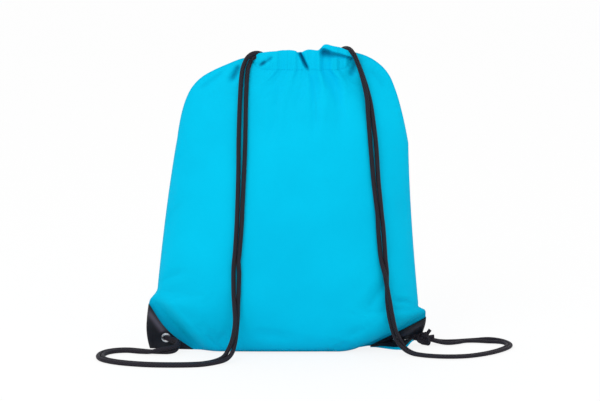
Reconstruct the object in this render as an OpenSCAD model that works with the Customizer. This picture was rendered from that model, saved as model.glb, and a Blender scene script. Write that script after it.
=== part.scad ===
// Drawstring backpack: a filled two-panel sack with a corded tunnel round its mouth, two cords that
// close the mouth and hang as shoulder loops, and reinforced bottom corners with metal eyelets.
// Millimetres. The origin is the middle of the bottom seam, on the floor. +Z is up, and -Y faces
// the side that the shoulder cords hang down.

/* [Filled sack] */
// Width between the side seams at the floor, without the corner ears
hip_w = 322; // [300:2:340]
// Width between the side seams where the shoulders begin
shoulder_w = 277; // [260:1:290]
// Height where the sides end and the shoulders begin
shoulder_z = 255; // [240:5:265]
// Height where the side seams meet the mouth
seam_top = 359; // [352:1:365]
// Depth from front to back at the fullest height
belly_d = 104; // [80:2:120]
// Height of the fullest part
belly_z = 120; // [100:5:140]
// Depth of the flat patch that rests on the floor
base_d = 30; // [24:2:40]

/* [Gathered mouth] */
// Width of the gathered mouth between the side seams
mouth_w = 115; // [105:1:125]
// Gap left between the two tunnels when the cords are pulled tight
mouth_gap = 12; // [8:1:16]
// Sideways lean of the mouth
mouth_shift = 18; // [0:1:20]
// How far the middle of the mouth seam hangs below its ends
mouth_sag = 14; // [13:1:16]
// Height of the sewn tunnel
tunnel_h = 24; // [22:1:26]
// Thickness of the tunnel around its cords
tunnel_t = 7.4; // [7:0.1:8]

/* [Corners] */
// How far each stiffened corner stands out from the side seam
ear_out = 8.5; // [6:0.5:9]
// Height of the left patch up the side seam
left_leg_up = 56; // [52:1:60]
// Length of the left patch along the bottom seam
left_leg_in = 53; // [50:1:60]
// Angle at which the left corner turns back
left_tuck = 8; // [4:1:12]
// Height of the right patch up the side seam
right_leg_up = 34; // [32:1:38]
// Length of the right patch along the bottom seam
right_leg_in = 66; // [62:1:68]
// Angle at which the right corner turns back
right_tuck = 40; // [30:1:44]
// Distance of each eyelet's centre from the patch's long edge
eyelet_in = 14; // [13:0.5:15]
// Bore of each eyelet
eyelet_bore = 6.6; // [6.2:0.1:7]
// Outside diameter of each eyelet's flange
eyelet_d = 12; // [11:0.5:13]

/* [Fabric and cord] */
// Thickness of the fabric
fabric_t = 0.4; // [0.3:0.1:0.5]
// Thickness of the corner patches
patch_t = 0.8; // [0.6:0.1:1]
// Diameter of the cords
cord_d = 5; // [4.6:0.1:5.2]
// Distance between the centres of the two strands of a shoulder loop
strand_gap = 7.2; // [6.6:0.1:7.6]

/* [Hidden] */

LEFT = -1;
RIGHT = 1;
FRONT = -1;
BACK = 1;

fabric_colour = "deepskyblue";
cord_colour = [0.13, 0.12, 0.16];
patch_colour = [0.1, 0.11, 0.15];
metal_colour = "silver";

rows = 24;           // rows of panel cells, floor to mouth
cols = 26;           // columns of panel cells, seam to seam
shoulder_v = 0.62;   // share of a panel's rows below the shoulders
seam_y = fabric_t + 0.15;   // outer face of a panel at its side seams
least_d = 0.25;      // least bulge of a panel beside its seams
ear_fade = 18;       // height over which an ear dies away
ear_rise = 2;        // height of an ear above its patch
tip_h = 17;          // height of the rounded corner tip
tip_cut = 10;        // width lost at the rounded corner tip
bend_far = 26;       // where a corner's backward bend begins, before its patch
bend_near = 8;       // where that bend ends
flat_start = 6;      // flat fabric before a patch
flat_run = 64;       // distance over which the flat corner swells to the full bulge
patch_gap = 0.2;     // room between a patch and the panel
patch_cells = 8;     // cells along each edge of a patch
seam_rows = 24;
seam_w = 8;          // width of a sewn seam allowance
seam_t = 0.4;        // thickness of a sewn seam allowance
hole_d = eyelet_bore + 1.2;
barrel_d = eyelet_bore + 0.8;
cord_r = cord_d / 2;
cord_sides = 8;
cord_lift = 1.2;     // room between a hanging cord and the panel
tunnel_end = 0.86;   // where the tunnels stop, as a share of the half mouth
tunnel_wall = 0.5;
tunnel_lift = 1.2;   // room between a tunnel and the panel it is sewn to
run_offset = 3;      // height of each running cord above or below the tunnel's middle
knot_r = 1.85;       // radius of a cord squeezed in its knot
knot_size = 2.9;
knot_depth = 3.4;
tip_l = 10;          // length of a cord's free end beyond its knot

// ---------- Small helpers ----------

function mix(a, b, t) = a + (b - a) * t;
function smooth(t) = let (c = max(0, min(1, t))) c * c * (3 - 2 * c);
function swell(s, p, q) = pow(max(0, 1 - pow(abs(s), p)), q);
function unit(v) = v / norm(v);
function flatten(lists) = [for (l = lists) each l];

// ---------- The sack's outline ----------

function leg_up(side) = side == LEFT ? left_leg_up : right_leg_up;
function leg_in(side) = side == LEFT ? left_leg_in : right_leg_in;
function tuck(side) = side == LEFT ? left_tuck : right_tuck;

function lean(z) = mouth_shift * pow(z / seam_top, 3);

function ear(side, z) = ear_out * (1 - smooth((z - leg_up(side) - ear_rise) / ear_fade));

function tip(z) = tip_cut * pow(max(0, 1 - z / tip_h), 2);

// Half the width at a height on one side, measured from the leaning middle line.
function half_at(side, z) = z <= shoulder_z
    ? mix(hip_w, shoulder_w, z / shoulder_z) / 2 + ear(side, z) - tip(z)
    : let (rise = min(1, (z - shoulder_z) / (seam_top - shoulder_z)))
        mix(mouth_w, shoulder_w, sqrt(1 - rise * rise)) / 2;

// [x, z] of a side seam at v, from 0 at the floor to 1 at the mouth.
function seam_at(side, v) = v <= shoulder_v
    ? let (z = shoulder_z * v / shoulder_v) [lean(z) + side * half_at(side, z), z]
    : let (
        turn = 90 * (v - shoulder_v) / (1 - shoulder_v),
        z = shoulder_z + (seam_top - shoulder_z) * sin(turn)
    ) [lean(z) + side * mix(mouth_w, shoulder_w, cos(turn)) / 2, z];

function sag_at(s, v) =
    mouth_sag * pow(max(0, (v - shoulder_v) / (1 - shoulder_v)), 2) * (1 - pow(abs(s), 10));

// ---------- The corners ----------

// Where a patch's long edge meets the bottom seam, and the unit vectors along and across that edge.
function edge_foot(side) = [side * (hip_w / 2 + ear_out - 3 - leg_in(side)), 0];
function edge_dir(side) = unit([side * leg_in(side), leg_up(side)]);
function edge_out(side) = side * [edge_dir(side).y, -edge_dir(side).x];

// Distance of [x, z] beyond a patch's long edge, towards the corner's tip.
function beyond(side, p) = (p - edge_foot(side)) * edge_out(side);

// A corner turns back about a line beside its patch. The bend is an arc, and the rest stays flat.
function bend_angle(side, h) =
    tuck(side) * max(0, min(1, (h + bend_far) / (bend_far - bend_near)));
function bend_radius(side) = (bend_far - bend_near) * 180 / (PI * tuck(side));
function bend_rest(h) = max(0, h + bend_near);

function folded(p) =
    let (
        side = p.x < 0 ? LEFT : RIGHT,
        h = beyond(side, [p.x, p.z]),
        a = bend_angle(side, h),
        along = bend_radius(side) * sin(a) + bend_rest(h) * cos(a) - bend_far,
        back = bend_radius(side) * (1 - cos(a)) + bend_rest(h) * sin(a),
        shift = (along - h - p.y * sin(a)) * edge_out(side)
    )
    h <= -bend_far ? p : [p.x + shift.x, back + p.y * cos(a), p.z + shift.y];

// Flat place of an eyelet's centre.
function eyelet_flat(side) =
    let (c = edge_foot(side) + edge_dir(side) * norm([leg_in(side), leg_up(side)]) * 0.43
        + edge_out(side) * eyelet_in)
    [c.x, 0, c.y];
function eyelet_centre(side) = folded(eyelet_flat(side));

// ---------- The panels ----------

function profile(z) = z < belly_z
    ? mix(base_d, belly_d, sqrt(1 - pow(1 - z / belly_z, 2))) / 2
    : let (t = min(1, (z - belly_z) / (seam_top - belly_z)))
        mix(mouth_gap + tunnel_t, belly_d, pow(1 - t * t, 0.9)) / 2;

function corner_flat(x, z) =
    smooth((-beyond(LEFT, [x, z]) - flat_start) / flat_run)
    * smooth((-beyond(RIGHT, [x, z]) - flat_start) / flat_run);

function bulge(s, x, z) = max(least_d, swell(s, 2.6, 0.7) * profile(z) * corner_flat(x, z));

// A point of a panel's outer face: s runs from -1 to 1 across, v from 0 to 1 upwards.
function panel_point(face, s, v, full) =
    let (
        l = seam_at(LEFT, v),
        r = seam_at(RIGHT, v),
        x = mix(l.x, r.x, (s + 1) / 2),
        z = mix(l.y, r.y, (s + 1) / 2) - sag_at(s, v)
    )
    folded([x, face * (seam_y + (full ? bulge(s, x, z) : 0)), z]);

// The first row lies along the bottom seam, and the second edges the flat base.
function panel_grid(face) = [
    for (i = [-1:rows]) [
        for (j = [0:cols])
            panel_point(face, -cos(180 * j / cols), (1 - cos(180 * max(0, i) / rows)) / 2, i >= 0)
    ]
];

// Moves each point of a grid along the grid's own normal.
function offset_grid(g, d) = [
    for (i = [0:len(g) - 1]) [
        for (j = [0:len(g[0]) - 1])
            let (
                up = g[min(i + 1, len(g) - 1)][j] - g[max(i - 1, 0)][j],
                over = g[i][min(j + 1, len(g[0]) - 1)] - g[i][max(j - 1, 0)]
            )
            g[i][j] + unit(cross(up, over)) * d
    ]
];

// Half the depth of the sack at a place, for what hangs against its front.
function front_y(x, z) =
    let (side = x < lean(z) ? LEFT : RIGHT)
    -seam_y - bulge((x - lean(z)) / half_at(side, z), x, z);

// ---------- Solids made from grids and sweeps ----------

// A closed solid between two grids of points, with the first one outside.
module sheet(outer, inner) {
    n = len(outer);
    m = len(outer[0]);
    far = n * m;
    function quad(a, b, c, d) = [[a, b, c], [a, c, d]];
    polyhedron(
        points = concat(flatten(outer), flatten(inner)),
        faces = concat(
            [for (i = [0:n - 2], j = [0:m - 2]) let (k = i * m + j)
                each quad(k, k + 1, k + m + 1, k + m)],
            [for (i = [0:n - 2], j = [0:m - 2]) let (k = far + i * m + j)
                each quad(k, k + m, k + m + 1, k + 1)],
            [for (i = [0:n - 2], e = [0, 1]) let (a = i * m + e * (m - 1), b = a + m)
                each (e == 0 ? quad(a, b, b + far, a + far) : quad(a, a + far, b + far, b))],
            [for (j = [0:m - 2], e = [0, 1]) let (a = j + e * (n - 1) * m, b = a + 1)
                each (e == 0 ? quad(a, a + far, b + far, b) : quad(a, b, b + far, a + far))]
        )
    );
}

// Unit vectors across a path, carried along it without twisting.
function tangent(path, i) = unit(path[min(i + 1, len(path) - 1)] - path[max(i - 1, 0)]);
function square_to(v, t) = unit(v - (v * t) * t);
function carried(path, start) = [
    for (i = 0, v = square_to(start, tangent(path, 0)); i < len(path);
        i = i + 1, v = square_to(v, tangent(path, min(i, len(path) - 1)))) v
];

function section_rings(path, section, start) =
    let (across = carried(path, start))
    [for (i = [0:len(path) - 1])
        let (t = tangent(path, i), u = across[i], w = cross(t, u))
        [for (c = section) path[i] + u * c.x + w * c.y]];

// The same, but each section stands upright and follows the path's heading only.
function upright_rings(path, section) = [
    for (i = [0:len(path) - 1])
        let (t = tangent(path, i), across = unit([t.y, -t.x, 0]))
        [for (c = section) path[i] + across * c.x + [0, 0, c.y]]
];

// A solid rod: one section swept along a path.
module rod(path, section, start) {
    rings = section_rings(path, section, start);
    n = len(section);
    last = (len(path) - 1) * n;
    polyhedron(
        points = flatten(rings),
        faces = concat(
            [for (i = [0:len(path) - 2], j = [0:n - 1])
                let (a = i * n + j, b = i * n + (j + 1) % n)
                each [[a, a + n, b + n], [a, b + n, b]]],
            [for (j = [1:n - 2]) each [[0, j, j + 1], [last, last + j + 1, last + j]]]
        )
    );
}

function round_section(r) =
    [for (i = [0:cord_sides - 1]) r * [cos(360 * i / cord_sides), sin(360 * i / cord_sides)]];

module cord(path, r = cord_r) {
    color(cord_colour) rod(path, round_section(r), [0.1, -1, 0.3]);
}

// A smooth curve through a list of points.
function spline(p, steps) = concat(
    [for (i = [0:len(p) - 2], k = [0:steps - 1])
        let (
            a = p[max(i - 1, 0)], b = p[i], c = p[i + 1], d = p[min(i + 2, len(p) - 1)],
            t = k / steps
        )
        (2 * b + (c - a) * t + (2 * a - 5 * b + 4 * c - d) * t * t
            + (3 * b - a - 3 * c + d) * t * t * t) / 2],
    [p[len(p) - 1]]
);

// ---------- Panels, seams and patches ----------

module eyelet_holes(margin) {
    for (side = [LEFT, RIGHT])
        at_eyelet(side)
            rotate([90, 0, 0]) cylinder(d = hole_d, h = 2 * margin, center = true, $fn = 48);
}

// Places a child, made square to the Y axis, on a corner's eyelet.
module at_eyelet(side) {
    out = edge_out(side);
    translate(eyelet_centre(side))
        rotate(a = tuck(side), v = cross([out.x, 0, out.y], [0, 1, 0]))
            children();
}

module panel(face) {
    outer = panel_grid(face);
    inner = offset_grid(outer, -face * fabric_t);
    color(fabric_colour) difference() {
        if (face == FRONT) sheet(outer, inner);
        else sheet(inner, outer);
        eyelet_holes(margin = 4);
    }
}

// The seam allowance inside each side, from above the corner's bend to the mouth.
module side_seam(side) {
    foot_v = (leg_up(side) + bend_far + bend_near) / shoulder_z * shoulder_v;
    grid = function (y) [
        for (i = [0:seam_rows])
            let (
                v = mix(foot_v, 1, i / seam_rows),
                p = seam_at(side, v),
                turn = smooth((v - shoulder_v) / (1 - shoulder_v))
            )
            [for (w = [0, seam_w]) [p.x - side * (1 + w * (1 - turn)), y, p.y - w * turn - 1]]
    ];
    color(fabric_colour)
        if (side == LEFT) sheet(grid(-seam_t / 2), grid(seam_t / 2));
        else sheet(grid(seam_t / 2), grid(-seam_t / 2));
}

module bottom_seam() {
    function end_x(side) = edge_foot(side).x - side * (bend_far + 2) / abs(edge_out(side).x);
    color(fabric_colour)
        translate([end_x(LEFT), -seam_t / 2, fabric_t + 0.1])
            cube([end_x(RIGHT) - end_x(LEFT), seam_t, seam_w]);
}

// A triangular patch, as rows that shorten from the long edge to the rounded tip.
module patch(side, face) {
    long = norm([leg_in(side), leg_up(side)]);
    slope = leg_in(side) / leg_up(side);
    deep = leg_in(side) * leg_up(side) / long;
    function place(i, j, y) =
        let (
            h = deep * 0.84 * i / patch_cells,
            along = mix(h * slope, long - h / slope, j / patch_cells),
            c = edge_foot(side) + edge_dir(side) * along + edge_out(side) * h
        )
        folded([c.x, face * y, c.y]);
    grid = function (y) [for (i = [0:patch_cells]) [for (j = [0:patch_cells]) place(i, j, y)]];
    near = seam_y + least_d + patch_gap;
    color(patch_colour) difference() {
        if ((side == LEFT) == (face == FRONT)) sheet(grid(near), grid(near + patch_t));
        else sheet(grid(near + patch_t), grid(near));
        eyelet_holes(margin = 4);
    }
}

stack = seam_y + least_d + patch_gap + patch_t;   // from the middle of a corner to a patch's face

// The flanged eyelet goes through from the front, and its barrel rolls over the washer at the back.
module eyelet(side) {
    flange = 0.7;
    color(metal_colour) at_eyelet(side) rotate([90, 0, 0])
        rotate_extrude($fn = 64)
            polygon([
                [eyelet_bore / 2, -stack - flange],
                [barrel_d / 2, -stack - flange],
                [barrel_d / 2, stack + 0.05],
                [eyelet_d / 2, stack + 0.05],
                [eyelet_d / 2 - 0.3, stack + flange * 0.7],
                [barrel_d / 2 + 0.8, stack + flange],
                [eyelet_bore / 2, stack + flange * 0.6],
            ]);
}

module eyelet_washer(side) {
    color(metal_colour) at_eyelet(side) rotate([90, 0, 0])
        translate([0, 0, -stack - 0.55])
            difference() {
                cylinder(d = eyelet_d, h = 0.5, $fn = 64);
                translate([0, 0, -1]) cylinder(d = barrel_d + 0.1, h = 3, $fn = 64);
            }
}

// ---------- Tunnels and the cords inside them ----------

// Middle line of a tunnel: s runs from -1 to 1 across the mouth.
function tunnel_point(face, s) =
    let (
        l = seam_at(LEFT, 1),
        r = seam_at(RIGHT, 1),
        z = mix(l.y, r.y, (s + 1) / 2) - sag_at(s, 1)
    )
    [
        mix(l.x, r.x, (s + 1) / 2),
        face * (tunnel_t / 2 + 0.3 + mouth_gap / 2 * swell(s, 2.6, 0.7)),
        z + tunnel_lift + tunnel_h / 2,
    ];

function tunnel_path(face, reach, n) = [for (i = [0:n]) tunnel_point(face, reach * (2 * i / n - 1))];

// A racetrack outline: half circles above and below a flat middle.
function racetrack(w, h) = [
    for (a = [0:30:330])
        [w / 2 * cos(a), (h - w) / 2 * (sin(a) >= 0 ? 1 : -1) + w / 2 * sin(a)]
];

module tunnel(face) {
    path = tunnel_path(face, tunnel_end, 22);
    outside = upright_rings(path, racetrack(tunnel_t, tunnel_h));
    inside = upright_rings(path,
        racetrack(tunnel_t - 2 * tunnel_wall, tunnel_h - 2 * tunnel_wall));
    n = len(outside[0]);
    m = len(outside);
    far = n * m;
    color(fabric_colour) polyhedron(
        points = concat(flatten(outside), flatten(inside)),
        faces = concat(
            [for (i = [0:m - 2], j = [0:n - 1]) let (a = i * n + j, b = i * n + (j + 1) % n)
                each [[a, a + n, b + n], [a, b + n, b]]],
            [for (i = [0:m - 2], j = [0:n - 1]) let (a = far + i * n + j, b = far + i * n + (j + 1) % n)
                each [[a, b + n, a + n], [a, b, b + n]]],
            [for (j = [0:n - 1], e = [0, 1])
                let (a = e * (m - 1) * n + j, b = e * (m - 1) * n + (j + 1) % n)
                each (e == 0 ? [[a, b, b + far], [a, b + far, a + far]]
                    : [[a, b + far, b], [a, a + far, b + far]])]
        )
    );
}

// The part of one cord that runs inside a tunnel. The left cord runs above the right one.
function run_height(side) = side == LEFT ? run_offset : -run_offset;
module cord_run(side, face) {
    cord([for (p = tunnel_path(face, tunnel_end - 0.01, 18)) p + [0, 0, run_height(side)]]);
}

// Each cord turns from the front tunnel to the back one at the far end of the mouth, over the seam.
module cord_bight(side) {
    far = -side;
    end = tunnel_point(FRONT, far * (tunnel_end + 0.05)) + [0, 0, run_height(side)];
    crest = seam_top + cord_r + 2;
    cord(spline([
        [end.x, end.y - 0.6, end.z + 0.5],
        [end.x + far * 4, end.y, mix(end.z, crest, 0.6)],
        [end.x + far * 6, 0, crest],
        [end.x + far * 4, -end.y, mix(end.z, crest, 0.6)],
        [end.x, -end.y + 0.6, end.z + 0.5],
    ], 5));
}

// ---------- Shoulder loops ----------

// Where each loop hangs on the sack's front, as [x, z] from the mouth down.
left_drop = [[-46, 343], [-52, 322], [-55, 250], [-58, 170], [-60, 90], [-61, 46]];
right_drop = [[85, 345], [92, 326], [101, 250], [109, 170], [116, 96]];

// Where each loop hangs free below that, as [x, y, z].
left_fall = [[-64, -51, 22], [-71, -61, 6]];
right_fall = [[121, -37, 56], [127, -31, 27], [138, -27, 8]];

// Where each loop lies on the floor, as [x, y], to just short of its eyelet or knot.
left_lie = [[-86, -76], [-106, -90], [-134, -98], [-168, -96], [-203, -83], [-224, -64], [-228, -44],
    [-218, -26], [-198, -18], [-176, -22]];
right_lie = [[154, -33], [168, -47], [188, -54], [218, -49], [246, -34], [265, -12], [272, 12],
    [265, 37], [247, 50], [225, 49], [206, 39]];

function drop_point(p) = [p.x, front_y(p.x, p.y) - cord_r - cord_lift, p.y];
function lie_point(p) = [p.x, p.y, cord_r + 0.3];

// Middle line of a shoulder loop.
function strap_path(side) = spline(concat(
    [for (p = side == LEFT ? left_drop : right_drop) drop_point(p)],
    side == LEFT ? left_fall : right_fall,
    [for (p = side == LEFT ? left_lie : right_lie) lie_point(p)]
), 4);

// Moves a point of a cord that hangs in front of the sack out to the sack's face.
function clear_of_sack(p) =
    let (side = p.x < lean(p.z) ? LEFT : RIGHT)
    p.y > 0 || abs(p.x - lean(p.z)) > half_at(side, p.z) ? p
    : [p.x, min(p.y, front_y(p.x, p.z) - cord_r - cord_lift), p.z];

// One strand of a loop. The strands lie side by side on the sack and on the floor.
module strand(side, hand) {
    path = strap_path(side);
    cord([
        for (i = [0:len(path) - 1])
            let (
                p = path[i],
                away = mix([0, 0, 1], [0, -1, 0], smooth(p.z / 40)),
                across = unit(cross(tangent(path, i), away))
            )
            clear_of_sack(p + across * hand * strand_gap / 2)
    ]);
}

// ---------- Knots and the short cords through the eyelets ----------

function knot_centre(side) = side == LEFT
    ? eyelet_centre(LEFT) + [-4, 15, 0]
    : eyelet_centre(RIGHT) + [34, 18, 1];

// How far a knot is turned about the Y axis, which points its cut ends up and outwards.
function knot_turn(side) = side == LEFT ? -75 : -20;

// An overhand knot pulled tight, in one length with its two cut ends.
function knot_point(t) = [
    knot_size * (sin(t) + 2 * sin(2 * t)),
    knot_depth * sin(3 * t),
    knot_size * (cos(t) - 2 * cos(2 * t))
];
module knot(side) {
    steps = 40;
    opened = 26;     // half the stretch of the closed knot, in degrees, that its ends replace
    turn = [for (i = [0:steps]) knot_point(mix(60 + opened, 420 - opened, i / steps))];
    first = turn[0];
    last = turn[steps];
    away = unit([knot_point(60).x, 0, knot_point(60).z]);
    translate(knot_centre(side)) rotate([0, knot_turn(side), 0])
        cord(concat(
            [first + away * tip_l + (first - last) * 0.3, first + away * tip_l * 0.5 + (first - last) * 0.1],
            turn,
            [last + away * tip_l * 0.5 - (first - last) * 0.1, last + away * tip_l - (first - last) * 0.3]
        ), knot_r);
}

// The short cord from the knot, through the eyelet and back round the corner's edge.
module eyelet_cord(side) {
    c = eyelet_centre(side);
    k = knot_centre(side);
    dir = edge_out(side);
    through = unit([-dir.x * sin(tuck(side)), cos(tuck(side)), -dir.y * sin(tuck(side))]);
    cord(spline([
        c - through * 11 + [-side * 3, 0, -3],
        c - through * 7,
        c - through * 4,
        c + through * 4,
        c + through * 7,
        mix(c + through * 10, k, 0.72),
    ], 5));
}

// ---------- The assembly ----------

panel(FRONT);  // front_panel
panel(BACK);  // back_panel
side_seam(LEFT);  // left_side_seam
side_seam(RIGHT);  // right_side_seam
bottom_seam();
patch(LEFT, FRONT);  // left_front_patch
patch(LEFT, BACK);  // left_back_patch
patch(RIGHT, FRONT);  // right_front_patch
patch(RIGHT, BACK);  // right_back_patch
eyelet(LEFT);  // left_eyelet
eyelet_washer(LEFT);  // left_eyelet_washer
eyelet(RIGHT);  // right_eyelet
eyelet_washer(RIGHT);  // right_eyelet_washer
knot(LEFT);  // left_knot
knot(RIGHT);  // right_knot
eyelet_cord(LEFT);  // left_eyelet_cord
eyelet_cord(RIGHT);  // right_eyelet_cord
cord_bight(LEFT);  // left_cord_bight
cord_bight(RIGHT);  // right_cord_bight
tunnel(FRONT);  // front_tunnel
cord_run(LEFT, FRONT);  // left_cord_front_run
cord_run(RIGHT, FRONT);  // right_cord_front_run
tunnel(BACK);  // back_tunnel
cord_run(LEFT, BACK);  // left_cord_back_run
cord_run(RIGHT, BACK);  // right_cord_back_run
strand(LEFT, 1);  // left_strap_outer_strand
strand(LEFT, -1);  // left_strap_inner_strand
strand(RIGHT, -1);  // right_strap_outer_strand
strand(RIGHT, 1);  // right_strap_inner_strand
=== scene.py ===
"""Looks of a filled drawstring backpack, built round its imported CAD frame.

Working lengths are in millimetres and become metres when a mesh is made. s runs from -1 to 1 across a
panel, from the left seam to the right one. v runs from 0 at the floor to 1 at the stitched line under
the tunnel.
"""

import math

import bpy
import numpy as np
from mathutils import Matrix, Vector
from mathutils.bvhtree import BVHTree


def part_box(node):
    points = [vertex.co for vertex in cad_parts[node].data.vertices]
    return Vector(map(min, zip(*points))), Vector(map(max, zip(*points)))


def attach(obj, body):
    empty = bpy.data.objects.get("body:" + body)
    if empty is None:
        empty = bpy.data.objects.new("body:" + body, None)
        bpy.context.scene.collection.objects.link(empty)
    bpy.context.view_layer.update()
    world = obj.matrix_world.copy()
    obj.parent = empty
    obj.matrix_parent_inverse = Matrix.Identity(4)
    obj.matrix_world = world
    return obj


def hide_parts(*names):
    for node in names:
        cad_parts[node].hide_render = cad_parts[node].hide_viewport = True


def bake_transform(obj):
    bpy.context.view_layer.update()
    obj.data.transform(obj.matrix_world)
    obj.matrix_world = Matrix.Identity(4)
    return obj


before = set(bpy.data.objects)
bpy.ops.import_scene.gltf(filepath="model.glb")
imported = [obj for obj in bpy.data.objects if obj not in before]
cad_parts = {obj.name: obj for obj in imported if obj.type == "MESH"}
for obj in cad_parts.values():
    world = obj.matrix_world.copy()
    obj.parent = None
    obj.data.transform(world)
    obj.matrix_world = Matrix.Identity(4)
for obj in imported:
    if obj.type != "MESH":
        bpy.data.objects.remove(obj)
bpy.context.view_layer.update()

MM = 0.001
LEFT, RIGHT = -1, 1
FRONT, BACK = -1, 1
SIDES, FACES = (LEFT, RIGHT), (FRONT, BACK)
SIDE = {LEFT: "left", RIGHT: "right"}
FACE = {FRONT: "front", BACK: "back"}


def node_box(name):
    """Lowest and highest corner of a CAD node, in millimetres."""
    low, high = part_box(name)
    return np.array(low) / MM, np.array(high) / MM


def node_centre(name):
    low, high = node_box(name)
    return (low + high) / 2


# ---- Dimensions, in millimetres ----

HIP_W, SHOULDER_W = 328.0, 277.5             # widths at the floor and at the shoulders
SHOULDER_Z, SHOULDER_V = 255.0, 0.62         # the height where the seams start to turn in, and v there
SHOULDER_LINE = {        # the side seams above the shoulders, as x and z
    LEFT: [(-132, 255), (-129.6, 272), (-125.9, 291), (-120.3, 309), (-112.8, 323.4),
           (-101.6, 335), (-86.6, 343.8), (-70, 351.2), (-55.5, 357), (-44, 359)],
    RIGHT: [(145.2, 255), (142.4, 270), (138.5, 288), (133.3, 308), (128.2, 323.3),
            (122.6, 336.3), (114.6, 347), (103.8, 355.8), (92.4, 361.6), (81, 365)],
}
SEAM_TOP = {side: SHOULDER_LINE[side][-1] for side in SIDES}
LEAN, LEAN_Z = 18.0, 359.0                   # how far the sack leans to the right at this height
BELLY_D, BELLY_Z = 104.0, 120.0              # its greatest depth, and the height of that
BASE_D, BASE_V = 18.0, 0.035                 # its depth at the floor, and v of the strip that lies under it
MOUTH_Z = 346.0          # the stitched line at the middle of the mouth
MOUTH_GAP = 12.0         # between the two tunnels
TUNNEL_T = 7.4           # a tunnel with its gathers and cords
TUNNEL_END = 0.975       # s at the ends of the tunnels
STITCH_END = 0.955       # s at the ends of their stitching
HEM_FREE = 0.25          # the hem share is full up to this s
STRAP_FREE_V, STRAP_FREE_Z = 0.66, 264.0     # above these the cloth's share rises, and the strands are split at this height

EAR_OUT = 8.5                                # how far the flat corners stand out sideways
EAR_RISE = {LEFT: 3.0, RIGHT: 13.5}          # how far above a patch that ends
EAR_FADE = {LEFT: 17.0, RIGHT: 6.0}          # and the height over which it ends
TIP_H, TIP_CUT = 34.0, 6.5                   # the tips pull in below this height, by this much at the floor
LEG_UP = {LEFT: 56.0, RIGHT: 34.0}           # a patch's side along the side seam
LEG_IN = {LEFT: 53.0, RIGHT: 66.0}           # and along the bottom seam
PATCH_FOOT = {LEFT: -113.5, RIGHT: 100.5}    # x where its long edge meets the bottom seam
TUCK = {LEFT: math.radians(8), RIGHT: math.radians(40)}    # how far the corners are turned back
BEND_FAR, BEND_NEAR = 26.0, 8.0              # they turn between these distances from a patch's long edge
FLAT_START = 1.0                             # the filled shape starts this far from the long edge
FLAT_RUN = {LEFT: 24.0, RIGHT: 28.0}         # and is full after this run
CORNER_Y = 0.8           # a panel's distance from the middle of a flat corner
PATCH_Y = 1.0            # the inner face of a patch
PATCH_T = 0.8
RIDGE_HIGHLIGHT = {LEFT: 0.9, RIGHT: 0.3}               # how far a patch's raised fold is painted paler, as a painted highlight
PATCH_SAG = {LEFT: 6.0, RIGHT: 0.5}          # how far the full sack pushes a patch's long edge down
UNDER_SHADE = {LEFT: (0.40, 6.0), RIGHT: (0.55, 16.0)}     # the cloth's shade by a patch, and its reach
HOLE_R = 4.6             # the hole that is cut in the cloth and leather for an eyelet

FABRIC_T = 0.35
CORD_R = 2.65
RUN_R = 1.4              # where the gathered tunnels squeeze the cords
BIGHT_R = 0.9            # where the cords turn at the ends of the mouth
FLOOR_CORD_R = 2.15      # the right loop's cord is pulled thinner where it lies on the floor
EYELET_CORD_R = 1.95     # where a pair of cords goes through an eyelet
KNOT_CORD_R = 2.2
KNOT_SIZE, KNOT_DEPTH = 2.3, 3.0
PATCH_STITCH = 2.6, 0.9, 0.32        # length, gap and thickness
TUNNEL_STITCH = 2.4, 0.8, 0.16
SEAM_T = 0.8             # the two layers of a seam's allowance
FOOT_T = 0.6             # the right corner's foot, where it is pressed flat
FLANGE_R = 6.5           # the leather lies flat under an eyelet's flange
THREAD_PITCH = 0.9       # two threads of the weave
BRAID_PITCH = 3.4
PUCKER_PITCH, SEAM_LENGTH = 9.5, 430.0
SWING_FADE = 80.0, 60.0  # lengths over which a strap's swing weight rises from its top and falls towards its end


# ---- Small helpers ----

def mix(a, b, t):
    return a + (b - a) * t


def smooth(t):
    t = np.clip(t, 0, 1)
    return t * t * (3 - 2 * t)


def swell(s, p, q):
    return np.maximum(0, 1 - np.abs(s) ** p) ** q


def unit(v):
    v = np.asarray(v, float)
    return v / np.maximum(np.linalg.norm(v, axis=-1, keepdims=True), 1e-12)


def running(steps):
    """The sum of the steps up to each point, from 0."""
    return np.concatenate([[0], np.cumsum(steps)])


def averaged(values, window):
    """The mean over an odd number of neighbours, for each value of a row."""
    return np.convolve(np.pad(values, window // 2, mode="edge"), np.ones(window) / window, "valid")


def cubic(a, b, c, d, t):
    """The Catmull-Rom curve from b to c."""
    return (2 * b + (c - a) * t + (2 * a - 5 * b + 4 * c - d) * t**2 + (3 * b - a - 3 * c + d) * t**3) / 2


def spline(points, steps):
    """A smooth curve through the points, with this many steps between each two."""
    p = np.asarray(points, float)
    p = np.vstack([2 * p[0] - p[1], p, 2 * p[-1] - p[-2]])
    t = (np.arange(steps) / steps)[:, None]
    parts = [cubic(*corners, t) for corners in zip(p[:-3], p[1:-2], p[2:-1], p[3:])]
    return np.vstack(parts + [p[-2:-1]])


def resample(path, step):
    """The same curve with evenly spaced points about one step apart."""
    lengths = running(np.linalg.norm(np.diff(path, axis=0), axis=1))
    count = max(2, int(round(lengths[-1] / step)) + 1)
    at = np.linspace(0, lengths[-1], count)
    return np.stack([np.interp(at, lengths, path[:, k]) for k in range(3)], -1), at


def refine(grid, k):
    """A grid with k cells for each one, on Catmull-Rom curves through the old points."""
    for axis in (0, 1):
        g = np.moveaxis(grid, axis, 0)
        g = np.concatenate([2 * g[:1] - g[1:2], g, 2 * g[-1:] - g[-2:-1]])
        out = np.empty((k * (len(g) - 3) + 1,) + g.shape[1:])
        for i in range(k):
            out[i:-1:k] = cubic(g[:-3], g[1:-2], g[2:-1], g[3:], i / k)
        out[-1] = g[-2]
        grid = np.moveaxis(out, 0, axis)
    return grid


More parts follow.
